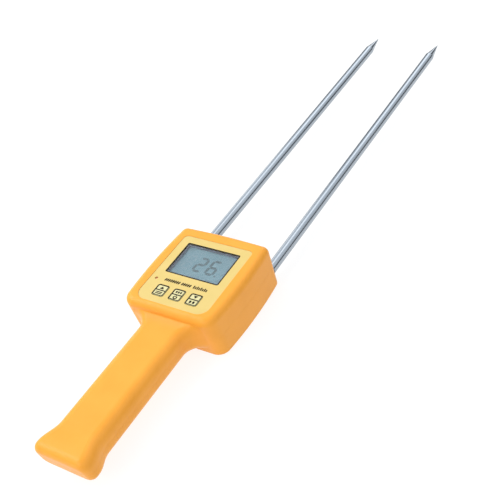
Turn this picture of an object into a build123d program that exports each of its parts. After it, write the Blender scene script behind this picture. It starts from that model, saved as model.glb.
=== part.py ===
"""Two-probe grain moisture meter: a handled display head with a pair of long steel probes.

Frame: millimetres, +X to the right of the display, +Y towards the probe tips, +Z out of the
display. The origin is the centre of the head's flat back face, which the meter lies on.
"""

from build123d import *

import os
from math import cos, pi, radians, sin

# Head of the casing
HEAD_HEIGHT = 37.5
HEAD_HALF_MID = 38.4
HEAD_HALF_END = 36.2
NEAR_AT_BACK = -39.8
NEAR_AT_FRONT = -45.2
FAR_AT_BACK = 38.3
FAR_AT_FRONT = 35.8
FAR_BOW = 1.0
NEAR_CORNER_R = 9.0
FAR_CORNER_R = 5.3
FRONT_EDGE_R = 5.0
BACK_EDGE_R = 2.5
LEAST_EDGE_R = 0.6

# Handle of the casing
HANDLE_HALF = 17.7
HANDLE_HALF_THICK = 10.5
HANDLE_MID_Z = 19.0
HANDLE_EDGE_R = 7.5
HANDLE_END = -161.8
END_SLOPE = -0.2
END_EDGE_R = 5.0
FLARE_START = -139.0
FLARE_PEAK = -156.0
FLARE_WIDE = 4.2
FLARE_HIGH = 0.8
FLARE_CLOSE = 0.5
FLARE_STEPS = 4
NECK_R = 13.5
NECK_RISE = 3.0
NECK_TURN = 78.0
NECK_STEPS = 5
ROOT_DEPTH = 5.0

# Casing wall, seam and lip
WALL = 2.2
PART_Z = 19.0
SEAM = 0.08
LIP_HEIGHT = 1.6
LIP_INSET = 1.1
LIP_GAP = 0.1

# Faceplate, window and keys
RECESS = 0.8
FILM = 0.5
PLATE_HALF_X = 28.8
PLATE_NEAR = -39.3
PLATE_FAR = 26.7
PLATE_NEAR_R = 8.0
PLATE_FAR_R = 3.5
WINDOW_HALF_X = 22.0
WINDOW_NEAR = -11.0
WINDOW_FAR = 20.4
WINDOW_R = 1.2
WINDOW_LEDGE = 1.2
PANE_THICK = 0.85
PANE_SUNK = 0.05
KEY_X = 8.8
KEY_Y = 9.9
KEY_R = 1.3
KEY_PITCH = 13.7
KEY_ROW_Y = -28.2
KEY_GAP = 0.25
KEY_PROUD = 0.15
KEY_FLANGE = 1.0
KEY_FLANGE_THICK = 1.0
KEY_EDGE_R = 0.2
KEY_POST_R = 2.0
KEY_REST_GAP = 0.35
LED_X = -23.9
LED_Y = -18.6
LED_R = 1.5
LED_BODY = 5.4
LED_HOLE_R = 1.1
LED_RIM_R = 1.9
LED_RIM_HIGH = 0.75
LED_LEG = 0.5
SMALL_GAP = 0.1

# Board and display
BOARD_Z = 24.0
BOARD_THICK = 1.6
BOARD_HALF_X = 31.5
BOARD_NEAR = -37.0
BOARD_FAR = 26.5
NOTCH_X = 24.5
NOTCH_Y = -26.5
GLASS_MARGIN = 1.6
GLASS_THICK = 2.8
GLASS_TOP = 34.4
FRAME_WALL = 1.5
FRAME_GAP = 0.1
ZEBRA_WIDE = 2.2
SWITCH_SIDE = 6.0
SWITCH_HIGH = 3.5
SWITCH_STEM_R = 1.65
SWITCH_STEM_HIGH = 2.45
SWITCH_WELL = 2.2
KEY_TRAVEL = 0.5
STEM_FLOAT = 0.3
CHIP_SIDE = 10.0
CHIP_THICK = 1.2
CHIP_BEVEL = 0.3
RESISTOR_X = 1.0
RESISTOR_Y = 2.0
RESISTOR_HIGH = 0.6
RESISTOR_PITCH = 3.3
RESISTOR_COUNT = 5
RESISTOR_ROW_Y = 10.0
CRYSTAL_X = 3.3
CRYSTAL_Y = 10.0
CRYSTAL_R = 1.25
CRYSTAL_PLACE = (-10, 0)
CAN_R = 2.5
CAN_HIGH = 5.0
CAN_PLACES = [(-20, -20), (20, -20)]

# Screws
CASE_SCREW_R = 1.5
CASE_HEAD_R = 2.8
CASE_HEAD_HIGH = 2.0
CASE_SCREW_LONG = 13.0
CASE_BOSS_R = 4.0
HEAD_SEAT_Z = 13.0
HANDLE_SEAT_Z = 11.6
SMALL_SCREW_R = 1.0
SMALL_HEAD_R = 2.0
SMALL_HEAD_HIGH = 1.4
SMALL_SCREW_LONG = 7.0
SMALL_BOSS_R = 2.5
RECESS_ACROSS = 0.7
RECESS_SPAN = 1.2
PILOT_SPARE = 1.0
SCREW_FIT = 0.02
HEAD_SCREWS = [(-20, 31), (20, 31), (-29, -31), (29, -31)]
HANDLE_SCREWS = [(0, -88), (0, -146)]
BOARD_SCREWS = [(-28.3, 20), (28.3, 20), (-28.3, -10), (28.3, -10)]

# Probes
PROBE_R = 4.0
PROBE_ROOT_R = 3.7
PROBE_SHOULDER_Y = 38.6
PROBE_WALL = 1.0
PROBE_X = 30.0
PROBE_Z = 10.0
PROBE_INNER_END = 4.0
PROBE_TIP = 360.5
TIP_CONE = 20.5
TIP_SHANK = 14.0
TIP_END_R = 0.25
PROBE_FIT = 0.02
BUSH_R = 4.8
BUSH_NEAR = 31.0
BUSH_FAR = 36.3
BUSH_BLOCK_HALF = 5.8
PROBE_HOLE_R = 3.85
STRAP_Y = 11.0
STRAP_WIDE = 7.0
STRAP_THICK = 0.8
STRAP_SCREW_X = 21.0
STRAP_FOOT_X = 17.4
LEAD_X = 24.0
LEAD_Y = 9.0
LEAD_RUNS = 3

# Battery and its compartment
BATTERY_X = 26.5
BATTERY_Y = 48.5
BATTERY_Z = 17.5
BATTERY_NEAR = -22.7
BATTERY_LOW = 2.7
BATTERY_CORNER_R = 2.0
TERMINAL_PITCH = 12.7
TERMINAL_R = 2.9
TERMINAL_HIGH = 2.6
SNAP_X = 25.0
SNAP_Z = 15.0
SNAP_THICK = 4.0
SNAP_GAP = 0.2
STUD_FIT = 0.1
BAY_HALF_X = 14.0
BAY_NEAR = -34.0
BAY_FAR = 26.2
BAY_ROOF = 20.6
BAY_WALL = 1.4
DOOR_HALF_X = 14.6
DOOR_TONGUE = 1.6
DOOR_FACE = 0.9
DOOR_THICK = 2.0
DOOR_FAR = 27.6
DOOR_GAP = 0.15
DOOR_RECESS = 0.15
DOOR_SET_BACK = 0.5
DOOR_EDGE_R = 0.8
CHANNEL_NEAR = -60.0
RAIL_TOP = 3.4
RAIL_MARGIN = 2.0
ROOF_SLOT_HALF = 7.0
ROOF_SLOT_LONG = 4.0
WIRE_R = 0.6
WIRE_X = 4.0
WIRE_BEND_Y = -31.6
WIRE_BEND_R = 3.0
GRIP_LINES = 5
GRIP_PITCH = 2.2
GRIP_FIRST_Y = -35.0
GRIP_HALF_X = 8.0
GRIP_WIDE = 1.1
GRIP_DEEP = 0.4

# Ribs across the inside of the handle
RIB_ROWS = [-68, -108, -127]
RIB_HALF_X = 11.0
RIB_THICK = 1.4
RIB_TALL = 3.0


def head_form(inset):
    """The head as a closed solid, every face moved in by inset."""
    half_end = HEAD_HALF_END - inset
    half_mid = HEAD_HALF_MID - inset
    with BuildPart() as head:
        for z, near, far in (
            (inset, NEAR_AT_BACK + inset, FAR_AT_BACK - inset),
            (HEAD_HEIGHT - inset, NEAR_AT_FRONT + inset, FAR_AT_FRONT - inset),
        ):
            middle = (near + far) / 2
            with BuildSketch(Plane.XY.offset(z)) as outline:
                with BuildLine():
                    Line((-half_end, near), (half_end, near))
                    ThreePointArc((half_end, near), (half_mid, middle), (half_end, far))
                    ThreePointArc((half_end, far), (0, far + FAR_BOW), (-half_end, far))
                    ThreePointArc((-half_end, far), (-half_mid, middle), (-half_end, near))
                make_face()
                fillet(outline.vertices().group_by(Axis.Y)[0], NEAR_CORNER_R - inset)
                fillet(outline.vertices().group_by(Axis.Y)[-1], FAR_CORNER_R - inset)
        loft(ruled=True)
        fillet(head.faces().sort_by(Axis.Z)[-1].edges(), FRONT_EDGE_R - inset)
        fillet(head.faces().sort_by(Axis.Z)[0].edges(), max(BACK_EDGE_R - inset, LEAST_EDGE_R))
    return head.part


def neck_stations():
    """Places along the neck: y, growth in width, growth up and down, and the plane's slope."""
    slope = (NEAR_AT_FRONT - NEAR_AT_BACK) / HEAD_HEIGHT
    face_y = NEAR_AT_BACK + slope * HANDLE_MID_Z
    reach = NECK_R * sin(radians(NECK_TURN))
    stations = []
    for step in range(NECK_STEPS + 1):
        turn = radians(NECK_TURN * step / NECK_STEPS)
        grow = 1 - cos(turn)
        y = face_y - reach + NECK_R * sin(turn)
        rise = NECK_RISE * grow
        stations.append((y, NECK_R * grow, rise, rise, slope * step / NECK_STEPS))
    return stations


def flare_stations(inset):
    """Places along the handle's flared end, in the same terms. The end face leans outwards."""
    stations = []
    for step in range(FLARE_STEPS + 1):
        part = step / FLARE_STEPS
        grow = (1 - cos(pi * part)) / 2
        y = FLARE_START + (FLARE_PEAK - FLARE_START) * part
        stations.append((y, FLARE_WIDE * grow, FLARE_HIGH * grow, 0, END_SLOPE * part))
    stations.append((HANDLE_END + inset, FLARE_WIDE - FLARE_CLOSE, FLARE_HIGH, 0, END_SLOPE))
    return stations


def handle_form(inset):
    """The handle as a closed solid that runs into the head, every face moved in by inset."""
    neck = neck_stations()
    root = [neck[-1], (neck[-1][0] + ROOT_DEPTH, *neck[-1][1:])]
    straight = [(FLARE_START, 0, 0, 0, 0), neck[0]]
    with BuildPart() as handle:
        for stations in (root, neck, straight, flare_stations(inset)):
            for y, wide, up, down, slope in stations:
                centre = (0, y, HANDLE_MID_Z + (up - down) / 2)
                with BuildSketch(Plane(centre, x_dir=(1, 0, 0), z_dir=(0, -1, slope))):
                    RectangleRounded(
                        2 * (HANDLE_HALF + wide - inset),
                        2 * (HANDLE_HALF_THICK - inset) + up + down,
                        HANDLE_EDGE_R - inset,
                    )
            loft(ruled=len(stations) == 2)
        fillet(handle.faces().sort_by(Axis.Y)[0].edges(), END_EDGE_R - inset)
    return handle.part


def casing_form(inset):
    """Head and handle as one closed solid, every face moved in by inset."""
    with BuildPart() as form:
        add(head_form(inset))
        add(handle_form(inset))
    return form.part


def lip_slice(form, low, high):
    """The part of a closed form between two heights."""
    with BuildPart() as band:
        add(form)
        split(bisect_by=Plane.XY.offset(low), keep=Keep.TOP)
        split(bisect_by=Plane.XY.offset(high), keep=Keep.BOTTOM)
    return band.part


def plate_outline(grow):
    """The faceplate's outline, every side moved out by grow."""
    middle = (PLATE_NEAR + PLATE_FAR) / 2
    with BuildSketch() as outline:
        with Locations((0, middle)):
            Rectangle(2 * (PLATE_HALF_X + grow), PLATE_FAR - PLATE_NEAR + 2 * grow)
        fillet(outline.vertices().group_by(Axis.Y)[0], PLATE_NEAR_R + grow)
        fillet(outline.vertices().group_by(Axis.Y)[-1], PLATE_FAR_R + grow)
    return outline.sketch


def window_outline(grow):
    """The display window's outline, every side moved out by grow."""
    with BuildSketch() as outline:
        with Locations((0, (WINDOW_NEAR + WINDOW_FAR) / 2)):
            RectangleRounded(
                2 * (WINDOW_HALF_X + grow),
                WINDOW_FAR - WINDOW_NEAR + 2 * grow,
                max(WINDOW_R + grow, LEAST_EDGE_R),
            )
    return outline.sketch


def key_outlines(places, grow):
    """Outlines of the keys at the given places, every side moved out by grow."""
    with BuildSketch() as outline:
        with Locations(*places):
            RectangleRounded(KEY_X + 2 * grow, KEY_Y + 2 * grow, KEY_R + grow)
    return outline.sketch


def screws(places, seat, shank_way, shank_r, head_r, head_high, long):
    """Cross-recessed screws: the head's underside is at seat, the shank points along shank_way."""
    head_top = seat - shank_way * head_high
    with BuildPart() as group:
        with BuildSketch(Plane.XY.offset(seat)):
            with Locations(*places):
                Circle(shank_r)
        extrude(amount=shank_way * long)
        with BuildSketch(Plane.XY.offset(seat)):
            with Locations(*places):
                Circle(head_r)
        extrude(amount=-shank_way * head_high)
        with BuildSketch(Plane.XY.offset(head_top)):
            with Locations(*places):
                Rectangle(RECESS_ACROSS, RECESS_SPAN * head_r)
                Rectangle(RECESS_SPAN * head_r, RECESS_ACROSS)
        extrude(amount=shank_way * head_high / 2, mode=Mode.SUBTRACT)
    return group.part


def wire(points, radii):
    """A round insulated lead along straight runs joined by tangent arcs."""
    with BuildPart() as lead:
        with BuildLine() as route:
            FilletPolyline(*points, radius=radii)
        path = route.wires()[0]
        with BuildSketch(Plane(path @ 0, z_dir=path % 0)):
            Circle(WIRE_R)
        sweep(path=path)
    return lead.part


def finish(part, name):
    """Name a finished piece and write it."""
    part.label = name
    export_step(part, f"parts/{name}.step")


os.makedirs("parts", exist_ok=True)

outer_form = casing_form(0)
inner_form = casing_form(WALL)
lip_top = PART_Z + LIP_HEIGHT
lip_form = casing_form(LIP_INSET)
lip_room = lip_slice(casing_form(LIP_INSET - LIP_GAP), PART_Z, lip_top + LIP_GAP)

with BuildPart() as lip_band:
    add(lip_slice(lip_form, PART_Z - LIP_HEIGHT, lip_top))
    add(inner_form, mode=Mode.SUBTRACT)
lip_ring = lip_band.part

seam_low = PART_Z - SEAM / 2
seam_high = PART_Z + SEAM / 2
handle_low = HANDLE_MID_Z - HANDLE_HALF_THICK
handle_high = HANDLE_MID_Z + HANDLE_HALF_THICK
plate_floor = HEAD_HEIGHT - RECESS
plate_top = plate_floor + FILM
inner_top = HEAD_HEIGHT - WALL
board_top = BOARD_Z + BOARD_THICK
glass_floor = GLASS_TOP - GLASS_THICK
pane_floor = plate_top - PANE_SUNK - PANE_THICK
key_places = {
    "left": (-KEY_PITCH, KEY_ROW_Y),
    "middle": (0, KEY_ROW_Y),
    "right": (KEY_PITCH, KEY_ROW_Y),
}
sides = {"left": -1, "right": 1}

# ---- Front shell ----

with BuildPart() as front_inside:
    # Screw bosses for the casing and the board, and ribs across the handle
    with BuildSketch(Plane.XY.offset(seam_high)):
        with Locations(*HEAD_SCREWS, *HANDLE_SCREWS):
            Circle(CASE_BOSS_R)
    extrude(amount=HEAD_HEIGHT - seam_high)
    with BuildSketch(Plane.XY.offset(board_top)):
        with Locations(*BOARD_SCREWS):
            Circle(SMALL_BOSS_R)
    extrude(amount=HEAD_HEIGHT - board_top)
    with BuildSketch(Plane.XY.offset(handle_high - WALL - RIB_TALL)):
        with Locations(*[(0, y) for y in RIB_ROWS]):
            Rectangle(2 * RIB_HALF_X, RIB_THICK)
    extrude(amount=WALL + RIB_TALL)
    add(lip_form, mode=Mode.INTERSECT)

with BuildPart() as front_shell:
    add(outer_form)
    add(inner_form, mode=Mode.SUBTRACT)
    split(bisect_by=Plane.XY.offset(seam_high), keep=Keep.TOP)

    # Rebate for the rear shell's lip, then the inside
    add(lip_room, mode=Mode.SUBTRACT)
    add(front_inside.part)

    # Pilot holes
    for places, end in (
        (HEAD_SCREWS, HEAD_SEAT_Z + CASE_SCREW_LONG + PILOT_SPARE),
        (HANDLE_SCREWS, HANDLE_SEAT_Z + CASE_SCREW_LONG + PILOT_SPARE),
    ):
        with BuildSketch(Plane.XY.offset(seam_high)):
            with Locations(*places):
                Circle(CASE_SCREW_R + SCREW_FIT)
        extrude(amount=end - seam_high, mode=Mode.SUBTRACT)
    with BuildSketch(Plane.XY.offset(board_top)):
        with Locations(*BOARD_SCREWS):
            Circle(SMALL_SCREW_R + SCREW_FIT)
    extrude(amount=SMALL_SCREW_LONG, mode=Mode.SUBTRACT)

    # Recess for the faceplate, seat for the window and openings through the front wall
    with BuildSketch(Plane.XY.offset(plate_floor)):
        add(plate_outline(SMALL_GAP))
    extrude(amount=RECESS, mode=Mode.SUBTRACT)
    with BuildSketch(Plane.XY.offset(pane_floor)):
        add(window_outline(0))
    extrude(amount=RECESS, mode=Mode.SUBTRACT)
    with BuildSketch(Plane.XY.offset(inner_top)):
        add(window_outline(-WINDOW_LEDGE))
        add(key_outlines(key_places.values(), KEY_GAP))
        with Locations((LED_X, LED_Y)):
            Circle(LED_R + SMALL_GAP)
    extrude(amount=WALL, mode=Mode.SUBTRACT)
finish(front_shell.part, "front_shell")

# ---- Rear shell ----

with BuildPart() as rear_inside:
    # Screw bosses and ribs
    with BuildSketch(Plane.XY):
        with Locations(*HEAD_SCREWS, *HANDLE_SCREWS):
            Circle(CASE_BOSS_R)
    extrude(amount=seam_low)
    with BuildSketch(Plane.XY.offset(handle_low)):
        with Locations(*[(0, y) for y in RIB_ROWS]):
            Rectangle(2 * RIB_HALF_X, RIB_THICK)
    extrude(amount=WALL + RIB_TALL)

    # Battery bay and the thick floor that the door's rails are cut in
    with BuildSketch(Plane.XY):
        with Locations((0, (BAY_NEAR + BAY_FAR) / 2)):
            Rectangle(2 * (BAY_HALF_X + BAY_WALL), BAY_FAR - BAY_NEAR + 2 * BAY_WALL)
    extrude(amount=BAY_ROOF + BAY_WALL)
    rail_far = DOOR_FAR + RAIL_MARGIN
    with BuildSketch(Plane.XY):
        with Locations((0, (NEAR_AT_BACK + rail_far) / 2)):
            Rectangle(2 * (DOOR_HALF_X + DOOR_TONGUE + RAIL_MARGIN), rail_far - NEAR_AT_BACK)
    extrude(amount=RAIL_TOP)

    # Cradles under the probes and housings for their bushings
    for way in sides.values():
        with BuildSketch(Plane.XY):
            with Locations((way * (STRAP_FOOT_X + HEAD_HALF_MID) / 2, STRAP_Y)):
                Rectangle(HEAD_HALF_MID - STRAP_FOOT_X, STRAP_WIDE)
        extrude(amount=PROBE_Z)
        block_in = PROBE_X - BUSH_BLOCK_HALF
        with BuildSketch(Plane.XY):
            with Locations((way * (block_in + HEAD_HALF_MID) / 2, (BUSH_NEAR + FAR_AT_BACK) / 2)):
                Rectangle(HEAD_HALF_MID - block_in, FAR_AT_BACK - BUSH_NEAR)
        extrude(amount=PROBE_Z + BUSH_BLOCK_HALF)
    add(lip_form, mode=Mode.INTERSECT)

with BuildPart() as rear_shell:
    add(outer_form)
    add(inner_form, mode=Mode.SUBTRACT)
    split(bisect_by=Plane.XY.offset(seam_low), keep=Keep.BOTTOM)
    add(lip_ring)
    add(rear_inside.part)

    # Battery bay, door channel and the slot for the battery leads
    with BuildSketch(Plane.XY):
        with Locations((0, (BAY_NEAR + BAY_FAR) / 2)):
            Rectangle(2 * BAY_HALF_X, BAY_FAR - BAY_NEAR)
    extrude(amount=BAY_ROOF, mode=Mode.SUBTRACT)
    with BuildSketch(Plane.XY.offset(BAY_ROOF)):
        with Locations((0, BAY_NEAR + ROOF_SLOT_LONG / 2)):
            Rectangle(2 * ROOF_SLOT_HALF, ROOF_SLOT_LONG)
    extrude(amount=BAY_WALL, mode=Mode.SUBTRACT)
    channel_far = DOOR_FAR + DOOR_GAP
    for half, floor, top in (
        (DOOR_HALF_X + DOOR_GAP, 0, DOOR_FACE),
        (DOOR_HALF_X + DOOR_TONGUE + DOOR_GAP, DOOR_FACE, DOOR_THICK + DOOR_GAP),
    ):
        with BuildSketch(Plane.XY.offset(floor)):
            with Locations((0, (CHANNEL_NEAR + channel_far) / 2)):
                Rectangle(2 * half, channel_far - CHANNEL_NEAR)
        extrude(amount=top - floor, mode=Mode.SUBTRACT)

    # Bores for the bushings, the probes and their cradles
    probe_places = [(way * PROBE_X, PROBE_Z) for way in sides.values()]
    for radius, start, end in (
        (BUSH_R + PROBE_FIT, BUSH_NEAR, BUSH_FAR),
        (PROBE_HOLE_R, BUSH_FAR, FAR_AT_BACK + FAR_BOW),
        (PROBE_ROOT_R + PROBE_FIT, STRAP_Y - STRAP_WIDE / 2, STRAP_Y + STRAP_WIDE / 2),
    ):
        with BuildSketch(Plane.XZ.offset(-start)):
            with Locations(*probe_places):
                Circle(radius)
        extrude(amount=start - end, mode=Mode.SUBTRACT)

    # Screw holes: deep counterbores from the back, and pilots for the strap screws
    for places, seat, floor in (
        (HEAD_SCREWS, HEAD_SEAT_Z, 0),
        (HANDLE_SCREWS, HANDLE_SEAT_Z, 0),
    ):
        with BuildSketch(Plane.XY.offset(floor)):
            with Locations(*places):
                Circle(CASE_HEAD_R + SMALL_GAP)
        extrude(amount=seat - floor, mode=Mode.SUBTRACT)
        with BuildSketch(Plane.XY.offset(seat)):
            with Locations(*places):
                Circle(CASE_SCREW_R + SMALL_GAP)
        extrude(amount=seam_low - seat, mode=Mode.SUBTRACT)
    with BuildSketch(Plane.XY.offset(PROBE_Z)):
        with Locations(*[(way * STRAP_SCREW_X, STRAP_Y) for way in sides.values()]):
            Circle(SMALL_SCREW_R + SCREW_FIT)
    extrude(amount=-SMALL_SCREW_LONG, mode=Mode.SUBTRACT)
finish(rear_shell.part, "rear_shell")

# ---- Faceplate and window ----

with BuildPart() as faceplate:
    with BuildSketch(Plane.XY.offset(plate_floor)):
        add(plate_outline(0))
        add(window_outline(0), mode=Mode.SUBTRACT)
        add(key_outlines(key_places.values(), KEY_GAP), mode=Mode.SUBTRACT)
        with Locations((LED_X, LED_Y)):
            Circle(LED_HOLE_R, mode=Mode.SUBTRACT)
    extrude(amount=FILM)
finish(faceplate.part, "faceplate")

with BuildPart() as display_window:
    with BuildSketch(Plane.XY.offset(pane_floor)):
        add(window_outline(-SMALL_GAP))
    extrude(amount=PANE_THICK)
finish(display_window.part, "display_window")

# ---- Display module ----

glass_x = WINDOW_HALF_X + GLASS_MARGIN
glass_near = WINDOW_NEAR - GLASS_MARGIN
glass_far = WINDOW_FAR + GLASS_MARGIN
glass_middle = (glass_near + glass_far) / 2
glass_long = glass_far - glass_near

with BuildPart() as lcd_glass:
    with BuildSketch(Plane.XY.offset(glass_floor)):
        with Locations((0, glass_middle)):
            Rectangle(2 * glass_x, glass_long)
    extrude(amount=GLASS_THICK)
finish(lcd_glass.part, "lcd_glass")

with BuildPart() as lcd_frame:
    with BuildSketch(Plane.XY.offset(board_top)):
        with Locations((0, glass_middle)):
            Rectangle(2 * (glass_x + FRAME_GAP + FRAME_WALL), glass_long + 2 * (FRAME_GAP + FRAME_WALL))
            Rectangle(2 * (glass_x - WINDOW_LEDGE), glass_long - 2 * WINDOW_LEDGE, mode=Mode.SUBTRACT)
    extrude(amount=GLASS_TOP - board_top)
    with BuildSketch(Plane.XY.offset(glass_floor)):
        with Locations((0, glass_middle)):
            Rectangle(2 * (glass_x + FRAME_GAP), glass_long + 2 * FRAME_GAP)
    extrude(amount=GLASS_THICK, mode=Mode.SUBTRACT)
finish(lcd_frame.part, "lcd_frame")

with BuildPart() as zebra_strips:
    strip_inset = WINDOW_LEDGE + FRAME_GAP + ZEBRA_WIDE / 2
    with BuildSketch(Plane.XY.offset(board_top)):
        with Locations((0, glass_near + strip_inset), (0, glass_far - strip_inset)):
            Rectangle(2 * (WINDOW_HALF_X - WINDOW_LEDGE), ZEBRA_WIDE)
    extrude(amount=glass_floor - board_top)
finish(zebra_strips.part, "zebra_strips")

# ---- Main board ----

with BuildPart() as main_board:
    with BuildSketch(Plane.XY.offset(BOARD_Z)):
        with Locations((0, (BOARD_NEAR + BOARD_FAR) / 2)):
            Rectangle(2 * BOARD_HALF_X, BOARD_FAR - BOARD_NEAR)
        with Locations((-BOARD_HALF_X, BOARD_NEAR), (BOARD_HALF_X, BOARD_NEAR)):
            Rectangle(2 * (BOARD_HALF_X - NOTCH_X), 2 * (NOTCH_Y - BOARD_NEAR), mode=Mode.SUBTRACT)
        with Locations(*BOARD_SCREWS):
            Circle(SMALL_SCREW_R + SMALL_GAP, mode=Mode.SUBTRACT)
    extrude(amount=BOARD_THICK)
finish(main_board.part, "main_board")

with BuildPart() as controller_chip:
    with BuildSketch(Plane.XY.offset(BOARD_Z)):
        Rectangle(CHIP_SIDE, CHIP_SIDE)
    extrude(amount=-CHIP_THICK)
    chamfer(controller_chip.faces().sort_by(Axis.Z)[0].edges(), CHIP_BEVEL)
finish(controller_chip.part, "controller_chip")

with BuildPart() as board_components:
    # Chip resistors in two rows, a crystal can and two electrolytic capacitors
    with BuildSketch(Plane.XY.offset(BOARD_Z)):
        with Locations((0, RESISTOR_ROW_Y), (0, -RESISTOR_ROW_Y)):
            with GridLocations(RESISTOR_PITCH, 0, RESISTOR_COUNT, 1):
                Rectangle(RESISTOR_X, RESISTOR_Y)
    extrude(amount=-RESISTOR_HIGH)
    with BuildSketch(Plane.XY.offset(BOARD_Z)):
        with Locations(CRYSTAL_PLACE):
            RectangleRounded(CRYSTAL_X, CRYSTAL_Y, CRYSTAL_R)
    extrude(amount=-CHIP_THICK)
    with BuildSketch(Plane.XY.offset(BOARD_Z)):
        with Locations(*CAN_PLACES):
            Circle(CAN_R)
    extrude(amount=-CAN_HIGH)
finish(board_components.part, "board_components")

with BuildPart() as indicator_led:
    led_top = plate_floor - SMALL_GAP
    with BuildSketch(Plane.XY.offset(led_top - LED_BODY)):
        with Locations((LED_X, LED_Y)):
            Circle(LED_R)
    extrude(amount=LED_BODY)
    fillet(indicator_led.faces().sort_by(Axis.Z)[-1].edges(), LED_R - SMALL_GAP)
    with BuildSketch(Plane.XY.offset(led_top - LED_BODY)):
        with Locations((LED_X, LED_Y)):
            Circle(LED_RIM_R)
    extrude(amount=LED_RIM_HIGH)
    with BuildSketch(Plane.XY.offset(board_top)):
        with Locations((LED_X, LED_Y)):
            with GridLocations(LED_R, 0, 2, 1):
                Rectangle(LED_LEG, LED_LEG)
    extrude(amount=led_top - LED_BODY - board_top)
finish(indicator_led.part, "indicator_led")

# ---- Keys and their switches ----

stem_top = board_top + SWITCH_HIGH - SWITCH_WELL + KEY_TRAVEL + STEM_FLOAT + SWITCH_STEM_HIGH
flange_top = inner_top - KEY_REST_GAP

with BuildPart() as tact_switches:
    with BuildSketch(Plane.XY.offset(board_top)):
        with Locations(*key_places.values()):
            Rectangle(SWITCH_SIDE, SWITCH_SIDE)
    extrude(amount=SWITCH_HIGH)
    with BuildSketch(Plane.XY.offset(board_top + SWITCH_HIGH)):
        with Locations(*key_places.values()):
            Circle(SWITCH_STEM_R + SMALL_GAP)
    extrude(amount=-SWITCH_WELL, mode=Mode.SUBTRACT)
finish(tact_switches.part, "tact_switches")

for name, place in key_places.items():
    with BuildPart() as switch_stem:
        with BuildSketch(Plane.XY.offset(stem_top)):
            with Locations(place):
                Circle(SWITCH_STEM_R)
        extrude(amount=-SWITCH_STEM_HIGH)
    finish(switch_stem.part, f"switch_stem_{name}")

    with BuildPart() as key:
        with BuildSketch(Plane.XY.offset(flange_top)):
            add(key_outlines([place], 0))
        extrude(amount=plate_top + KEY_PROUD - flange_top)
        fillet(key.faces().sort_by(Axis.Z)[-1].edges(), KEY_EDGE_R)
        with BuildSketch(Plane.XY.offset(flange_top)):
            add(key_outlines([place], KEY_FLANGE))
        extrude(amount=-KEY_FLANGE_THICK)
        with BuildSketch(Plane.XY.offset(flange_top - KEY_FLANGE_THICK)):
            with Locations(place):
                Circle(KEY_POST_R)
        extrude(amount=stem_top - flange_top + KEY_FLANGE_THICK)
    finish(key.part, f"key_{name}")

# ---- Probes ----

cone_base = PROBE_TIP - TIP_CONE
plug_r = PROBE_R - PROBE_WALL - PROBE_FIT

for name, way in sides.items():
    place = (way * PROBE_X, PROBE_Z)
    axis = Axis((way * PROBE_X, 0, PROBE_Z), (0, 1, 0))

    # The tube is turned down where it runs inside the casing
    with BuildPart() as probe_tube:
        for radius, start, end in (
            (PROBE_ROOT_R, PROBE_INNER_END, PROBE_SHOULDER_Y),
            (PROBE_R, PROBE_SHOULDER_Y, cone_base),
        ):
            with BuildSketch(Plane.XZ.offset(-start)):
                with Locations(place):
                    Circle(radius)
                    Circle(PROBE_R - PROBE_WALL, mode=Mode.SUBTRACT)
            extrude(amount=start - end)
    finish(probe_tube.part, f"probe_tube_{name}")

    with BuildPart() as probe_tip:
        with BuildSketch(Plane(axis.position, x_dir=(0, 1, 0), z_dir=(1, 0, 0))):
            with BuildLine():
                Polyline(
                    (cone_base - TIP_SHANK, 0),
                    (cone_base - TIP_SHANK, plug_r),
                    (cone_base, plug_r),
                    (cone_base, PROBE_R),
                    (PROBE_TIP, TIP_END_R),
                    (PROBE_TIP, 0),
                    close=True,
                )
            make_face()
        revolve(axis=axis)
    finish(probe_tip.part, f"probe_tip_{name}")

    with BuildPart() as probe_bushing:
        with BuildSketch(Plane.XZ.offset(-BUSH_NEAR)):
            with Locations(place):
                Circle(BUSH_R)
                Circle(PROBE_ROOT_R + PROBE_FIT, mode=Mode.SUBTRACT)
        extrude(amount=BUSH_NEAR - BUSH_FAR)
    finish(probe_bushing.part, f"probe_bushing_{name}")

    with BuildPart() as probe_strap:
        strap_in = PROBE_ROOT_R + PROBE_FIT
        below = 2 * (strap_in + STRAP_THICK)
        foot_end = way * (PROBE_X - strap_in - STRAP_THICK / 2)
        foot_tip = way * STRAP_FOOT_X
        with BuildSketch(Plane.XZ.offset(STRAP_WIDE / 2 - STRAP_Y)):
            with Locations(place):
                Circle(strap_in + STRAP_THICK)
                Circle(strap_in, mode=Mode.SUBTRACT)
                Rectangle(below, below, align=(Align.CENTER, Align.MAX), mode=Mode.SUBTRACT)
            with Locations(((foot_end + foot_tip) / 2, PROBE_Z + STRAP_THICK / 2)):
                Rectangle(abs(foot_end - foot_tip), STRAP_THICK)
        extrude(amount=-STRAP_WIDE)
        with BuildSketch(Plane.XY.offset(PROBE_Z)):
            with Locations((way * STRAP_SCREW_X, STRAP_Y)):
                Circle(SMALL_SCREW_R + SMALL_GAP)
        extrude(amount=STRAP_THICK, mode=Mode.SUBTRACT)
    finish(probe_strap.part, f"probe_strap_{name}")

    lead_x = way * LEAD_X
    strap_top = PROBE_Z + STRAP_THICK
    rise = (BOARD_Z - strap_top) / LEAD_RUNS
    finish(
        wire(
            [
                (lead_x, LEAD_Y, strap_top),
                (lead_x, LEAD_Y, strap_top + rise),
                (lead_x, LEAD_Y - rise, BOARD_Z - rise),
                (lead_x, LEAD_Y - rise, BOARD_Z),
            ],
            [rise, rise],
        ),
        f"probe_lead_{name}",
    )

# ---- Battery, its connector, leads and door ----

battery_mid_z = BATTERY_LOW + BATTERY_Z / 2
studs = [(-TERMINAL_PITCH / 2, battery_mid_z), (TERMINAL_PITCH / 2, battery_mid_z)]

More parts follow.
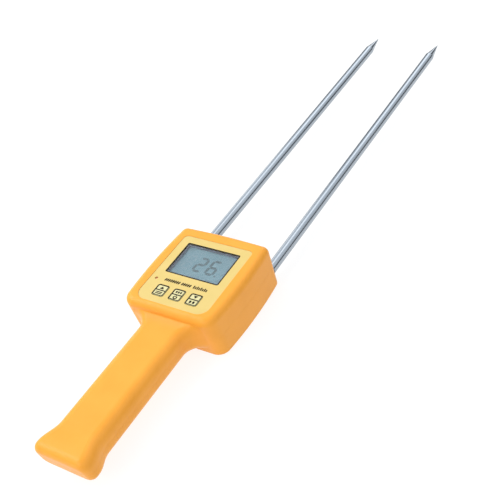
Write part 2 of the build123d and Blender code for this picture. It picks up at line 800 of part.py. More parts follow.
with BuildPart() as battery:
    with BuildSketch(Plane.XZ.offset(-BATTERY_NEAR)):
        with Locations((0, battery_mid_z)):
            RectangleRounded(BATTERY_X, BATTERY_Z, BATTERY_CORNER_R)
    extrude(amount=-BATTERY_Y)
finish(battery.part, "battery")

with BuildPart() as battery_terminals:
    with BuildSketch(Plane.XZ.offset(-BATTERY_NEAR)):
        with Locations(studs[0]):
            Circle(TERMINAL_R)
        with Locations(studs[1]):
            RegularPolygon(TERMINAL_R, 6)
    extrude(amount=TERMINAL_HIGH)
finish(battery_terminals.part, "battery_terminals")

with BuildPart() as battery_snap:
    with BuildSketch(Plane.XZ.offset(SNAP_GAP - BATTERY_NEAR)):
        with Locations((0, battery_mid_z)):
            RectangleRounded(SNAP_X, SNAP_Z, BATTERY_CORNER_R)
    extrude(amount=SNAP_THICK)
    with BuildSketch(Plane.XZ.offset(SNAP_GAP - BATTERY_NEAR)):
        with Locations(*studs):
            Circle(TERMINAL_R + STUD_FIT)
    extrude(amount=TERMINAL_HIGH, mode=Mode.SUBTRACT)
finish(battery_snap.part, "battery_snap")

snap_back = BATTERY_NEAR - SNAP_GAP - SNAP_THICK
for name, x in (("red", WIRE_X), ("black", -WIRE_X)):
    bend = [(x, snap_back, battery_mid_z), (x, WIRE_BEND_Y, battery_mid_z), (x, WIRE_BEND_Y, BOARD_Z)]
    finish(wire(bend, [WIRE_BEND_R]), f"battery_lead_{name}")

with BuildPart() as battery_door:
    door_near = NEAR_AT_BACK + DOOR_SET_BACK
    tongue_floor = DOOR_FACE + DOOR_GAP
    with BuildSketch(Plane.XY.offset(DOOR_RECESS)):
        with Locations((0, (door_near + DOOR_FAR) / 2)):
            Rectangle(2 * DOOR_HALF_X, DOOR_FAR - door_near)
    extrude(amount=DOOR_THICK - DOOR_RECESS)
    with BuildSketch(Plane.XY.offset(tongue_floor)):
        with Locations((0, (door_near + DOOR_FAR) / 2)):
            Rectangle(2 * (DOOR_HALF_X + DOOR_TONGUE), DOOR_FAR - door_near)
    extrude(amount=DOOR_THICK - tongue_floor)
    fillet(battery_door.faces().sort_by(Axis.Z)[0].edges().sort_by(Axis.Y)[0], DOOR_EDGE_R)
    with BuildSketch(Plane.XY.offset(DOOR_RECESS)):
        with Locations(*[(0, GRIP_FIRST_Y + GRIP_PITCH * line) for line in range(GRIP_LINES)]):
            SlotOverall(2 * GRIP_HALF_X, GRIP_WIDE)
    extrude(amount=GRIP_DEEP, mode=Mode.SUBTRACT)
finish(battery_door.part, "battery_door")

# ---- Fasteners ----

case_size = (CASE_SCREW_R, CASE_HEAD_R, CASE_HEAD_HIGH, CASE_SCREW_LONG)
small_size = (SMALL_SCREW_R, SMALL_HEAD_R, SMALL_HEAD_HIGH, SMALL_SCREW_LONG)
strap_places = [(way * STRAP_SCREW_X, STRAP_Y) for way in sides.values()]

with BuildPart() as case_screws:
    add(screws(HEAD_SCREWS, HEAD_SEAT_Z, 1, *case_size))
    add(screws(HANDLE_SCREWS, HANDLE_SEAT_Z, 1, *case_size))
finish(case_screws.part, "case_screws")
finish(screws(BOARD_SCREWS, BOARD_Z, 1, *small_size), "board_screws")
finish(screws(strap_places, PROBE_Z + STRAP_THICK, -1, *small_size), "strap_screws")
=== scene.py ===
from math import cos, pi, radians, sin

import bmesh
import bpy
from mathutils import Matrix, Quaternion, Vector


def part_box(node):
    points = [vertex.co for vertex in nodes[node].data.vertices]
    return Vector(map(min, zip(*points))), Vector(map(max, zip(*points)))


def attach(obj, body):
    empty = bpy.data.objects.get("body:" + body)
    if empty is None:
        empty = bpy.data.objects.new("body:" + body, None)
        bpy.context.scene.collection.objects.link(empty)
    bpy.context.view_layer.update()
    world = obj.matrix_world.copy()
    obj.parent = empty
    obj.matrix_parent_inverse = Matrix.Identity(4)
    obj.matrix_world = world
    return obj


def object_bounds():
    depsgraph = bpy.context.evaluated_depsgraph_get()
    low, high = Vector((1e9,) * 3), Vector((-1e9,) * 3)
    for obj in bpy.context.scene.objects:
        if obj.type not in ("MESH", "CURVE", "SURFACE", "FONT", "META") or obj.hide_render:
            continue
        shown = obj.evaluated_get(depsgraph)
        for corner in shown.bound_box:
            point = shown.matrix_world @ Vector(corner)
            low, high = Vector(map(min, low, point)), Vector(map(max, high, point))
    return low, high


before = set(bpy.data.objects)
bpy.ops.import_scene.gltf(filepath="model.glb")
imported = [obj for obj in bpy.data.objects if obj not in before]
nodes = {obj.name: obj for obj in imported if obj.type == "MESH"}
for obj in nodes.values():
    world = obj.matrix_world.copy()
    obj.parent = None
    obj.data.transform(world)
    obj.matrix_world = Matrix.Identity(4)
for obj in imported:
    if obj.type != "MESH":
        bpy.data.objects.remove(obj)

MM = 0.001
KEY_NAMES = ("left", "middle", "right")
cad_low, cad_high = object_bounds()

# ---- Camera ----

CAMERA_PLACE = Vector((0.3256, -0.3393, 0.4380))
CAMERA_AIM = Vector((-0.0029, 0.0618, 0.0))
CAMERA_ROLL = radians(-13.76)
LENS_MM = 64.41

camera_data = bpy.data.cameras.new("camera")
camera_data.lens = LENS_MM
camera_data.sensor_width = 36.0
camera_data.clip_start = 0.01
camera_data.clip_end = 100.0
camera = bpy.data.objects.new("camera", camera_data)
bpy.context.scene.collection.objects.link(camera)
camera.location = CAMERA_PLACE
camera.rotation_mode = "QUATERNION"
aim = (CAMERA_AIM - CAMERA_PLACE).to_track_quat("-Z", "Y")
camera.rotation_quaternion = aim @ Quaternion((0, 0, 1), CAMERA_ROLL)
bpy.context.scene.camera = camera
bpy.context.scene.view_settings.view_transform = "Standard"


# ---- Materials ----


class Nodes:
    """A new material's node tree, with short calls for the nodes used here."""

    def __init__(self, name):
        self.material = bpy.data.materials.new(name)
        self.material.use_nodes = True
        self.tree = self.material.node_tree
        self.shader = self.tree.nodes["Principled BSDF"]
        self.place = self.add("ShaderNodeTexCoord").outputs["Object"]

    def add(self, kind):
        return self.tree.nodes.new(kind)

    def link(self, output, target):
        self.tree.links.new(output, target)

    def stretched(self, scale):
        """The place, scaled by a different amount along each axis."""
        mapping = self.add("ShaderNodeMapping")
        mapping.inputs["Scale"].default_value = scale
        self.link(self.place, mapping.inputs["Vector"])
        return mapping.outputs["Vector"]

    def noise(self, size, detail=2.0, place=None):
        """Noise whose features are about this many metres across."""
        noise = self.add("ShaderNodeTexNoise")
        noise.inputs["Scale"].default_value = 1 / size
        noise.inputs["Detail"].default_value = detail
        self.link(place or self.place, noise.inputs["Vector"])
        return noise.outputs["Fac"]

    def ramp(self, factor, stops):
        """A colour ramp through (position, colour) stops."""
        ramp = self.add("ShaderNodeValToRGB")
        elements = ramp.color_ramp.elements
        while len(elements) < len(stops):
            elements.new(0.5)
        for element, (position, colour) in zip(elements, stops):
            element.position = position
            element.color = (*colour, 1)
        self.link(factor, ramp.inputs["Fac"])
        return ramp.outputs["Color"]

    def span(self, factor, low, high):
        """The factor's middle range, mapped to low..high."""
        span = self.add("ShaderNodeMapRange")
        span.inputs["From Min"].default_value = 0.3
        span.inputs["From Max"].default_value = 0.7
        span.inputs["To Min"].default_value = low
        span.inputs["To Max"].default_value = high
        self.link(factor, span.inputs["Value"])
        return span.outputs["Result"]

    def bump(self, height, distance):
        """A bump of this many metres."""
        bump = self.add("ShaderNodeBump")
        bump.inputs["Strength"].default_value = 1.0
        bump.inputs["Distance"].default_value = distance
        self.link(height, bump.inputs["Height"])
        return bump.outputs["Normal"]

    def surface(self, colour, roughness, normal):
        """Link the shader's colour, roughness and normal."""
        self.link(colour, self.shader.inputs["Base Color"])
        self.link(roughness, self.shader.inputs["Roughness"])
        self.link(normal, self.shader.inputs["Normal"])


def mottled(
    name, dark, light, size, rough, grain, depth, metallic=0.0, stretch=None, gloss=0.5
):
    """A material with softly varied colour and roughness and a fine surface grain.

    size is the mottling's, grain the fine texture's, depth the bump's height, all in metres."""
    look = Nodes(name)
    place = look.stretched(stretch) if stretch else None
    look.surface(
        look.ramp(look.noise(size, 3.0, place), [(0.35, dark), (0.65, light)]),
        look.span(look.noise(size / 3, 3.0, place), *rough),
        look.bump(look.noise(grain, 2.0, place), depth),
    )
    look.shader.inputs["Metallic"].default_value = metallic
    look.shader.inputs["Specular IOR Level"].default_value = gloss
    return look.material


CASING = mottled(
    "casing_plastic", dark=(0.91, 0.375, 0.044), light=(0.95, 0.400, 0.052),
    size=25 * MM, rough=(0.29, 0.36), grain=0.35 * MM, depth=0.012 * MM,
    gloss=0.2,
)
FACEPLATE = mottled(
    "faceplate_film", dark=(0.71, 0.525, 0.155), light=(0.74, 0.550, 0.175),
    size=12 * MM, rough=(0.38, 0.46), grain=0.25 * MM, depth=0.006 * MM,
)
KEYS = mottled(
    "key_plastic", dark=(0.69, 0.63, 0.315), light=(0.73, 0.67, 0.345),
    size=4 * MM, rough=(0.40, 0.48), grain=0.2 * MM, depth=0.006 * MM,
)
# Black print ink, also used as painted shade for the liners down the key openings' walls
INK_AND_SHADE = mottled(
    "black_ink_and_painted_shade", dark=(0.010, 0.008, 0.006), light=(0.018, 0.014, 0.011),
    size=2 * MM, rough=(0.5, 0.6), grain=0.15 * MM, depth=0.002 * MM,
    gloss=0.1,
)
LCD = mottled(
    "lcd_glass", dark=(0.232, 0.422, 0.493), light=(0.250, 0.450, 0.522),
    size=15 * MM, rough=(0.22, 0.28), grain=0.2 * MM, depth=0.001 * MM,
)
SEGMENT = mottled(
    "lcd_segment", dark=(0.070, 0.150, 0.175), light=(0.085, 0.175, 0.200),
    size=3 * MM, rough=(0.3, 0.4), grain=0.2 * MM, depth=0.001 * MM,
)
GHOST = mottled(
    "lcd_ghost", dark=(0.215, 0.392, 0.458), light=(0.230, 0.417, 0.483),
    size=3 * MM, rough=(0.3, 0.4), grain=0.2 * MM, depth=0.001 * MM,
)
# Blue-grey gasket foam: its tone is painted shade, set to look like the soft shade inside the
# window's edges
FOAM_AND_SHADE = mottled(
    "gasket_foam_and_painted_shade", dark=(0.13, 0.15, 0.21), light=(0.19, 0.21, 0.28),
    size=0.8 * MM, rough=(0.8, 0.95), grain=0.3 * MM, depth=0.08 * MM,
)
STEEL = mottled(
    "probe_steel", dark=(0.350, 0.390, 0.435), light=(0.395, 0.435, 0.480),
    size=3 * MM, rough=(0.14, 0.20), grain=0.3 * MM, depth=0.004 * MM,
    metallic=1.0, stretch=(1, 0.04, 1),
)
SCREW = mottled(
    "screw_steel", dark=(0.42, 0.42, 0.43), light=(0.55, 0.55, 0.56),
    size=0.8 * MM, rough=(0.25, 0.4), grain=0.1 * MM, depth=0.01 * MM,
    metallic=1.0,
)
BRASS = mottled(
    "brass", dark=(0.75, 0.56, 0.27), light=(0.83, 0.65, 0.34),
    size=1.5 * MM, rough=(0.25, 0.4), grain=0.2 * MM, depth=0.005 * MM,
    metallic=1.0,
)
TERMINAL = mottled(
    "terminal_plate", dark=(0.62, 0.61, 0.58), light=(0.72, 0.71, 0.68),
    size=1 * MM, rough=(0.22, 0.35), grain=0.2 * MM, depth=0.005 * MM,
    metallic=1.0,
)
BUSHING = mottled(
    "bushing_plastic", dark=(0.74, 0.72, 0.65), light=(0.79, 0.77, 0.70),
    size=2 * MM, rough=(0.45, 0.6), grain=0.2 * MM, depth=0.01 * MM,
)
BLACK_PLASTIC = mottled(
    "black_plastic", dark=(0.018, 0.018, 0.019), light=(0.030, 0.030, 0.032),
    size=3 * MM, rough=(0.4, 0.55), grain=0.25 * MM, depth=0.01 * MM,
)
FRAME_PLASTIC = mottled(
    "frame_plastic", dark=(0.70, 0.69, 0.65), light=(0.78, 0.77, 0.73),
    size=5 * MM, rough=(0.45, 0.55), grain=0.3 * MM, depth=0.01 * MM,
)
ELASTOMER = mottled(
    "elastomer", dark=(0.026, 0.026, 0.028), light=(0.042, 0.042, 0.045),
    size=0.5 * MM, rough=(0.6, 0.75), grain=0.2 * MM, depth=0.02 * MM,
)
CHIP = mottled(
    "chip_epoxy", dark=(0.016, 0.016, 0.017), light=(0.028, 0.028, 0.029),
    size=1 * MM, rough=(0.55, 0.7), grain=0.1 * MM, depth=0.01 * MM,
)
LEAD_RED = mottled(
    "lead_red", dark=(0.52, 0.02, 0.02), light=(0.62, 0.04, 0.03),
    size=3 * MM, rough=(0.35, 0.5), grain=0.2 * MM, depth=0.01 * MM,
)
LEAD_BLACK = mottled(
    "lead_black", dark=(0.015, 0.015, 0.016), light=(0.028, 0.028, 0.03),
    size=3 * MM, rough=(0.35, 0.5), grain=0.2 * MM, depth=0.01 * MM,
)


def clear_pane():
    """Clear acrylic with a very faint surface ripple."""
    look = Nodes("window_acrylic")
    look.surface(
        look.ramp(look.noise(20 * MM), [(0.3, (0.93, 0.96, 0.97)), (0.7, (0.96, 0.98, 0.99))]),
        look.span(look.noise(6 * MM), 0.03, 0.07),
        look.bump(look.noise(15 * MM), 0.002 * MM),
    )
    look.shader.inputs["Transmission Weight"].default_value = 1.0
    look.shader.inputs["IOR"].default_value = 1.49
    return look.material


def led_lens():
    """Tinted red epoxy that lets a little light in."""
    look = Nodes("led_epoxy")
    look.surface(
        look.ramp(look.noise(1.5 * MM), [(0.3, (0.80, 0.28, 0.19)), (0.7, (0.88, 0.38, 0.27))]),
        look.span(look.noise(1 * MM), 0.12, 0.25),
        look.bump(look.noise(0.3 * MM), 0.004 * MM),
    )
    look.shader.inputs["Subsurface Weight"].default_value = 0.3
    look.shader.inputs["Subsurface Radius"].default_value = (1 * MM, 0.3 * MM, 0.2 * MM)
    return look.material


def battery_jacket():
    """Printed steel jacket: a black sleeve with a copper-coloured band at the far end."""
    look = Nodes("battery_jacket")
    axes = look.add("ShaderNodeSeparateXYZ")
    look.link(look.place, axes.inputs["Vector"])
    low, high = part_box("battery")
    band = look.add("ShaderNodeMapRange")
    band.inputs["From Min"].default_value = low.y
    band.inputs["From Max"].default_value = high.y
    look.link(axes.outputs["Y"], band.inputs["Value"])
    sleeve, near_copper, far_copper = (0.03, 0.03, 0.032), (0.66, 0.36, 0.15), (0.70, 0.39, 0.17)
    stops = [(0.0, sleeve), (0.68, sleeve), (0.69, near_copper), (1.0, far_copper)]
    look.surface(
        look.ramp(band.outputs["Result"], stops),
        look.span(look.noise(4 * MM), 0.25, 0.38),
        look.bump(look.noise(0.4 * MM), 0.01 * MM),
    )
    look.shader.inputs["Metallic"].default_value = 0.6
    return look.material


def circuit_board():
    """Green solder mask with copper tracks showing through."""
    look = Nodes("circuit_board")
    tracks = look.add("ShaderNodeTexBrick")
    tracks.inputs["Scale"].default_value = 1 / (12 * MM)
    tracks.inputs["Color1"].default_value = (0.012, 0.13, 0.045, 1)
    tracks.inputs["Color2"].default_value = (0.016, 0.16, 0.055, 1)
    tracks.inputs["Mortar"].default_value = (0.05, 0.27, 0.08, 1)
    look.link(look.place, tracks.inputs["Vector"])
    look.surface(
        tracks.outputs["Color"],
        look.span(look.noise(5 * MM), 0.25, 0.4),
        look.bump(tracks.outputs["Fac"], 0.03 * MM),
    )
    return look.material


PANE = clear_pane()
LED = led_lens()
BATTERY = battery_jacket()
BOARD = circuit_board()

node_materials = {
    "front_shell": CASING,
    "rear_shell": CASING,
    "battery_door": CASING,
    "faceplate": FACEPLATE,
    "display_window": PANE,
    "lcd_glass": LCD,
    "lcd_frame": FRAME_PLASTIC,
    "zebra_strips": ELASTOMER,
    "main_board": BOARD,
    "controller_chip": CHIP,
    "board_components": CHIP,
    "indicator_led": LED,
    "tact_switches": BLACK_PLASTIC,
    "battery": BATTERY,
    "battery_terminals": TERMINAL,
    "battery_snap": BLACK_PLASTIC,
    "battery_lead_red": LEAD_RED,
    "battery_lead_black": LEAD_BLACK,
    "case_screws": SCREW,
    "board_screws": SCREW,
    "strap_screws": SCREW,
}
for name in KEY_NAMES:
    node_materials[f"key_{name}"] = KEYS
    node_materials[f"switch_stem_{name}"] = BLACK_PLASTIC
for name, lead in (("left", LEAD_BLACK), ("right", LEAD_RED)):
    node_materials[f"probe_tube_{name}"] = STEEL
    node_materials[f"probe_tip_{name}"] = STEEL
    node_materials[f"probe_bushing_{name}"] = BUSHING
    node_materials[f"probe_strap_{name}"] = BRASS
    node_materials[f"probe_lead_{name}"] = lead

for name, node in nodes.items():
    node.data.materials.clear()
    node.data.materials.append(node_materials[name])

# ---- Printed and thin pieces ----

# Height of a printed mark
PRINT = 0.03 * MM


def piece(name, made, material, body):
    """A new object from a bmesh, riding on a body."""
    mesh = bpy.data.meshes.new(name)
    made.to_mesh(mesh)
    made.free()
    mesh.materials.append(material)
    thing = bpy.data.objects.new(name, mesh)
    bpy.context.scene.collection.objects.link(thing)
    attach(thing, body)


def rounded(low, high, radius, steps=6):
    """Corners of a rounded rectangle, anticlockwise."""
    left, right = low.x + radius, high.x - radius
    near, far = low.y + radius, high.y - radius
    points = []
    for quarter, corner in enumerate(((right, far), (left, far), (left, near), (right, near))):
        centre = Vector(corner)
        for step in range(steps + 1):
            turn = (quarter + step / steps) * pi / 2
            points.append(centre + radius * Vector((cos(turn), sin(turn))))
    return points


def add_ring(made, outer, inner, z, thick):
    """A closed band between two outlines of the same length."""
    loops = []
    for outline, height in ((outer, z + thick), (inner, z + thick), (inner, z), (outer, z)):
        loops.append([made.verts.new((*p, height)) for p in outline])
    for first, second in zip(loops, loops[1:] + loops[:1]):
        for i in range(len(first)):
            j = (i + 1) % len(first)
            made.faces.new((first[i], first[j], second[j], second[i]))


def add_slab(made, outline, z, thick):
    """A closed flat piece with this outline, anticlockwise."""
    top = [made.verts.new((*p, z + thick)) for p in outline]
    base = [made.verts.new((*p, z)) for p in outline]
    made.faces.new(top)
    made.faces.new(base[::-1])
    for i in range(len(outline)):
        j = (i + 1) % len(outline)
        made.faces.new((base[i], base[j], top[j], top[i]))


def shrunk(low, high, by):
    """A flat box moved in by this much on each side."""
    return Vector((low.x + by, low.y + by)), Vector((high.x - by, high.y - by))


# Black line printed round the edge of the window
BORDER_WIDE = 0.75 * MM
BORDER_OUTER_R = 1.1 * MM
BORDER_INNER_R = 0.6 * MM
pane_low, pane_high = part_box("display_window")
border = bmesh.new()
add_ring(
    border,
    rounded(pane_low, pane_high, BORDER_OUTER_R),
    rounded(*shrunk(pane_low, pane_high, BORDER_WIDE), BORDER_INNER_R),
    pane_high.z,
    PRINT,
)
piece("window_border", border, INK_AND_SHADE, "casing")

# Foam gasket between the display glass and the window; its mid blue-grey is painted shade, set
# to look like the soft shade along the window's inner edges
GASKET_INSET = 1.12 * MM
GASKET_WIDE = 0.3 * MM
GASKET_OUTER_R = 0.6 * MM
GASKET_INNER_R = 0.4 * MM
glass_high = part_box("lcd_glass")[1]
hole_low, hole_high = shrunk(pane_low, pane_high, GASKET_INSET)
gasket = bmesh.new()
add_ring(
    gasket,
    rounded(hole_low, hole_high, GASKET_OUTER_R),
    rounded(*shrunk(hole_low, hole_high, GASKET_WIDE), GASKET_INNER_R),
    glass_high.z + PRINT,
    pane_low.z - glass_high.z - 2 * PRINT,
)
piece("lcd_gasket_and_painted_shade", gasket, FOAM_AND_SHADE, "casing")

# Seven-segment digits
DIGIT_HIGH = 15.0 * MM
DIGIT_WIDE = 8.0 * MM
SEGMENT_WIDE = 2.05 * MM
SLANT = 0.05
SEGMENT_GAP = 0.18 * MM
# The lit segments of each digit, lettered clockwise from the top with g in the middle
SEGMENTS = {"2": "abged", "6": "afedcg", "8": "abcdefg"}
DIGIT_Y = -2.6 * MM
DIGITS = (("2", -6.8 * MM), ("6", 3.6 * MM))
GHOST_X = -16.6 * MM
DOT_X = 12.4 * MM
DOT_SIDE = 1.3 * MM
DOT_R = 0.3 * MM


def segment_outlines(digit, corner):
    """Outlines of a digit's lit segments, its lower left corner at the given place."""
    half = SEGMENT_WIDE / 2
    left, right = half, DIGIT_WIDE - half
    bottom, middle, top = half, DIGIT_HIGH / 2, DIGIT_HIGH - half
    ends = {
        "a": ((left, top), (right, top)),
        "b": ((right, top), (right, middle)),
        "c": ((right, middle), (right, bottom)),
        "d": ((left, bottom), (right, bottom)),
        "e": ((left, middle), (left, bottom)),
        "f": ((left, top), (left, middle)),
        "g": ((left, middle), (right, middle)),
    }
    outlines = []
    for letter in SEGMENTS[digit]:
        start, end = (Vector(p) for p in ends[letter])
        along = (end - start).normalized()
        across = Vector((-along.y, along.x)) * half
        start += along * SEGMENT_GAP
        end -= along * SEGMENT_GAP
        points = [
            start,
            start + along * half - across,
            end - along * half - across,
            end,
            end - along * half + across,
            start + along * half + across,
        ]
        slanted = [Vector((p.x + SLANT * p.y, p.y)) for p in points]
        outlines.append([corner + p for p in slanted])
    return outlines


digits = bmesh.new()
for digit, x in DIGITS:
    for outline in segment_outlines(digit, Vector((x, DIGIT_Y))):
        add_slab(digits, outline, glass_high.z, PRINT)
dot = Vector((DOT_X, DIGIT_Y))
dot_outline = rounded(dot, dot + Vector((DOT_SIDE, DOT_SIDE)), DOT_R, 3)
add_slab(digits, dot_outline, glass_high.z, PRINT)
piece("lcd_digits", digits, SEGMENT, "casing")

# An unlit digit that shows faintly beside the lit ones
ghosts = bmesh.new()
for outline in segment_outlines("8", Vector((GHOST_X, DIGIT_Y))):
    add_slab(ghosts, outline, glass_high.z, PRINT / 2)
piece("lcd_ghosts", ghosts, GHOST, "casing")

# A row of grain kernels and scale ticks across the faceplate
MARK_Y = -17.8 * MM
KERNEL_LONG = 2.9 * MM
KERNEL_WIDE = 1.3 * MM
KERNEL_TURN = radians(-14)
KERNEL_PITCH = 1.6 * MM
KERNEL_ROWS = ((8, -16.3 * MM), (5, -2.4 * MM))
TICK_COUNT = 8
TICK_FIRST = 7.2 * MM
TICK_PITCH = 1.45 * MM
TICK_WIDE = 1.0 * MM
TICK_LONG = 2.8 * MM
TICK_SHORT = 2.1 * MM
TICK_DROP = 1.3 * MM
TICK_R = 0.1 * MM
plate_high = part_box("faceplate")[1]


def kernel(centre, steps=12):
    """A grain kernel's outline."""
    points = []
    for step in range(steps):
        angle = 2 * pi * step / steps
        x = KERNEL_WIDE / 2 * sin(angle)
        y = KERNEL_LONG / 2 * cos(angle)
        across = x * cos(KERNEL_TURN) + y * sin(KERNEL_TURN)
        along = y * cos(KERNEL_TURN) - x * sin(KERNEL_TURN)
        points.append(Vector((centre.x - across, centre.y + along)))
    return points


marks = bmesh.new()
for count, first in KERNEL_ROWS:
    for i in range(count):
        centre = Vector((first + KERNEL_PITCH * i, MARK_Y))
        add_slab(marks, kernel(centre), plate_high.z, PRINT)
for i in range(TICK_COUNT):
    tall = TICK_LONG if i % 2 == 0 else TICK_SHORT
    low = Vector((TICK_FIRST + TICK_PITCH * i - TICK_WIDE / 2, MARK_Y - TICK_DROP))
    tick = rounded(low, low + Vector((TICK_WIDE, tall)), TICK_R, 2)
    add_slab(marks, tick, plate_high.z, PRINT)
piece("faceplate_marks", marks, INK_AND_SHADE, "casing")

# A line printed round each key's opening, and painted shade: a dark ink liner down the opening's
# wall that stands in for the shade in the gap round the key
KEY_WIDE = 8.8 * MM
KEY_HIGH = 9.9 * MM
KEY_R = 1.3 * MM
OPENING_GAP = 0.25 * MM
OPENING_LINE = 0.2 * MM
OPENING_R = KEY_R + OPENING_GAP
# Painted shade: the dark liner down each key opening's wall
SHADE_LINER_OFF_WALL = 0.01 * MM
SHADE_LINER_OFF_KEY = 0.12 * MM
SHADE_LINER_DEEP = 0.6 * MM
openings = bmesh.new()
for name in KEY_NAMES:
    low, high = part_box(f"key_{name}")
    middle = ((low + high) / 2).xy
    half = Vector((KEY_WIDE / 2 + OPENING_GAP, KEY_HIGH / 2 + OPENING_GAP))
    opening = (middle - half, middle + half)
    add_ring(
        openings,
        rounded(*shrunk(*opening, -OPENING_LINE), OPENING_R + OPENING_LINE),
        rounded(*opening, OPENING_R),
        plate_high.z,
        PRINT,
    )
    add_ring(
        # The liner: painted shade down the opening's wall, in the gap round the key
        openings,
        rounded(*shrunk(*opening, SHADE_LINER_OFF_WALL), OPENING_R),
        rounded(*shrunk(*opening, OPENING_GAP - SHADE_LINER_OFF_KEY), KEY_R + SHADE_LINER_OFF_KEY),
        plate_high.z - SHADE_LINER_DEEP,
        SHADE_LINER_DEEP,
    )
piece("key_frames_and_gap_shade", openings, INK_AND_SHADE, "casing")

# Outline, divider and symbols on each key
FRAME_EDGE = 0.15 * MM
FRAME_LINE = 0.6 * MM
FRAME_OUTER_R = 1.1 * MM
FRAME_INNER_R = 0.7 * MM
DIVIDER_HIGH = 0.9 * MM
SYMBOL_OFF_MIDDLE = 2.4 * MM
TRIANGLE_HALF = 1.7 * MM
TRIANGLE_FLAT = 0.7
LONG_BAR = (5.2 * MM, 0.75 * MM)
LONG_BAR_OFF = 0.65 * MM
BLOCK = (1.3 * MM, 1.8 * MM)
BLOCK_PITCH = 1.8 * MM
PAUSE_BAR = (1.6 * MM, 2.2 * MM)
PAUSE_OFF = 1.3 * MM
POWER_R = 1.25 * MM
POWER_LINE = 0.8 * MM
POWER_DROP = 0.1 * MM
POWER_START, POWER_END = radians(125), radians(415)
POWER_BAR = (0.6 * MM, 1.6 * MM)
POWER_BAR_RISE = 1.1 * MM


def bar(made, centre, size, z):
    """A small printed bar of this width and height."""
    wide, high = size
    low = Vector((centre.x - wide / 2, centre.y - high / 2))
    add_slab(made, rounded(low, low + Vector((wide, high)), min(wide, high) / 4, 2), z, PRINT)


def triangle(made, centre, way, z):
    """A small printed triangle that points up (way 1) or down (way -1)."""
    rise = way * TRIANGLE_HALF * TRIANGLE_FLAT
    points = [
        Vector((centre.x - TRIANGLE_HALF, centre.y - rise)),
        Vector((centre.x + TRIANGLE_HALF, centre.y - rise)),
        Vector((centre.x, centre.y + rise)),
    ]
    add_slab(made, points if way > 0 else points[::-1], z, PRINT)


def arc_band(made, centre, radius, wide, start, end, z, steps=20):
    """Part of a printed ring, from one angle to another."""
    outer, inner = radius + wide / 2, radius - wide / 2
    turns = [start + (end - start) * i / steps for i in range(steps + 1)]
    points = [centre + outer * Vector((cos(t), sin(t))) for t in turns]
    points += [centre + inner * Vector((cos(t), sin(t))) for t in reversed(turns)]
    add_slab(made, points, z, PRINT)


def left_symbols(made, upper, lower, z):
    """An up triangle over two long bars."""
    triangle(made, upper, 1, z)
    for row in (-1, 1):
        bar(made, lower + Vector((0, LONG_BAR_OFF * row)), LONG_BAR, z)


def middle_symbols(made, upper, lower, z):
    """Three blocks over a power mark."""
    for column in (-1, 0, 1):
        bar(made, upper + Vector((BLOCK_PITCH * column, 0)), BLOCK, z)
    ring = lower - Vector((0, POWER_DROP))
    arc_band(made, ring, POWER_R, POWER_LINE, POWER_START, POWER_END, z)
    bar(made, lower + Vector((0, POWER_BAR_RISE)), POWER_BAR, z)


def right_symbols(made, upper, lower, z):
    """A down triangle over a pause mark."""
    triangle(made, upper, -1, z)
    for column in (-1, 1):
        bar(made, lower + Vector((PAUSE_OFF * column, 0)), PAUSE_BAR, z)


for name, add_symbols in zip(KEY_NAMES, (left_symbols, middle_symbols, right_symbols)):
    low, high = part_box(f"key_{name}")
    middle = ((low + high) / 2).xy
    half = Vector((KEY_WIDE / 2, KEY_HIGH / 2))
    face = (middle - half, middle + half)
    made = bmesh.new()
    add_ring(
        made,
        rounded(*shrunk(*face, FRAME_EDGE), FRAME_OUTER_R),
        rounded(*shrunk(*face, FRAME_EDGE + FRAME_LINE), FRAME_INNER_R),
        high.z,
        PRINT,
    )
    bar(made, middle, (KEY_WIDE - 2 * (FRAME_EDGE + FRAME_LINE), DIVIDER_HIGH), high.z)
    off_middle = Vector((0, SYMBOL_OFF_MIDDLE))
    add_symbols(made, middle + off_middle, middle - off_middle, high.z)
    piece(f"key_print_{name}", made, INK_AND_SHADE, f"key_{name}")

# ---- Floor, lights and sky ----

FLOOR_R = 30.0
FLOOR_DROP = 0.05 * MM
FLOOR_GLOW = 0.84

# The floor gives off most of its own white, so it picks up little colour from the casing
paper = Nodes("floor_paper")
paper.link(
    paper.ramp(paper.noise(0.2), [(0.3, (0.20, 0.20, 0.20)), (0.7, (0.22, 0.22, 0.22))]),
    paper.shader.inputs["Base Color"],
)
paper.shader.inputs["Roughness"].default_value = 0.9
paper.shader.inputs["Specular IOR Level"].default_value = 0.1
paper.shader.inputs["Emission Color"].default_value = (1, 1, 1, 1)
paper.shader.inputs["Emission Strength"].default_value = FLOOR_GLOW

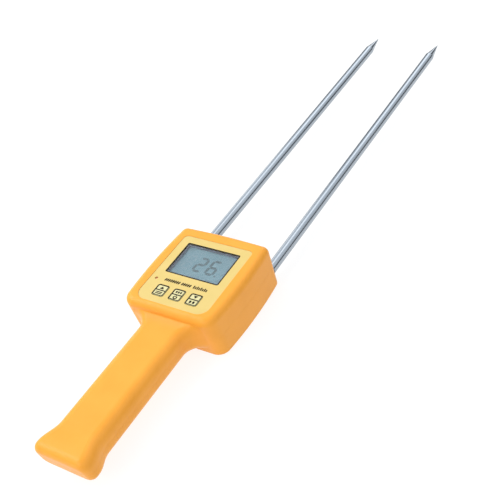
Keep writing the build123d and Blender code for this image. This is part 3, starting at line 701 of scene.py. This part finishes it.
ground = bmesh.new()
bmesh.ops.create_circle(ground, cap_ends=True, radius=FLOOR_R, segments=64)
floor_mesh = bpy.data.meshes.new("floor")
ground.to_mesh(floor_mesh)
ground.free()
floor_mesh.materials.append(paper.material)
floor = bpy.data.objects.new("floor", floor_mesh)
bpy.context.scene.collection.objects.link(floor)
floor.location.z = cad_low.z - FLOOR_DROP

# Brightness of the sky by height, from the horizon (0) to straight up (1)
SKY_BANDS = [(0.22, 0.11), (0.36, 0.60), (0.58, 0.95), (0.76, 0.95), (0.92, 0.35)]
SKY_TINT = (0.93, 0.965, 1.0)
SKY_STRENGTH = 1.25

world = bpy.data.worlds.new("studio")
bpy.context.scene.world = world
world.use_nodes = True
sky = world.node_tree
place = sky.nodes.new("ShaderNodeTexCoord")
axes = sky.nodes.new("ShaderNodeSeparateXYZ")
ramp = sky.nodes.new("ShaderNodeValToRGB")
sky.links.new(place.outputs["Generated"], axes.inputs["Vector"])
sky.links.new(axes.outputs["Z"], ramp.inputs["Fac"])
sky.links.new(ramp.outputs["Color"], sky.nodes["Background"].inputs["Color"])
elements = ramp.color_ramp.elements
while len(elements) < len(SKY_BANDS):
    elements.new(0.5)
for element, (height, level) in zip(elements, SKY_BANDS):
    element.position = height
    element.color = (*(tint * level for tint in SKY_TINT), 1)
sky.nodes["Background"].inputs["Strength"].default_value = SKY_STRENGTH

LIGHT_AIM = Vector((0, 0.08, 0))


def softbox(name, place, size, watts):
    """A soft light of this width and height, aimed at the middle of the object."""
    data = bpy.data.lights.new(name, "AREA")
    data.shape = "RECTANGLE"
    data.size, data.size_y = size
    data.energy = watts
    lamp = bpy.data.objects.new(name, data)
    bpy.context.scene.collection.objects.link(lamp)
    lamp.location = place
    lamp.rotation_mode = "QUATERNION"
    lamp.rotation_quaternion = (LIGHT_AIM - lamp.location).to_track_quat("-Z", "Y")


softbox("key_light", place=(-1.3, -0.25, 1.5), size=(1.4, 1.4), watts=21)
softbox("front_light", place=(-0.3, -1.5, 1.0), size=(0.8, 0.8), watts=6)
softbox("far_light", place=(-0.25, 1.7, 1.3), size=(0.8, 2.6), watts=7)
softbox("left_light", place=(-1.3, 0.9, 0.3), size=(0.7, 0.7), watts=2)
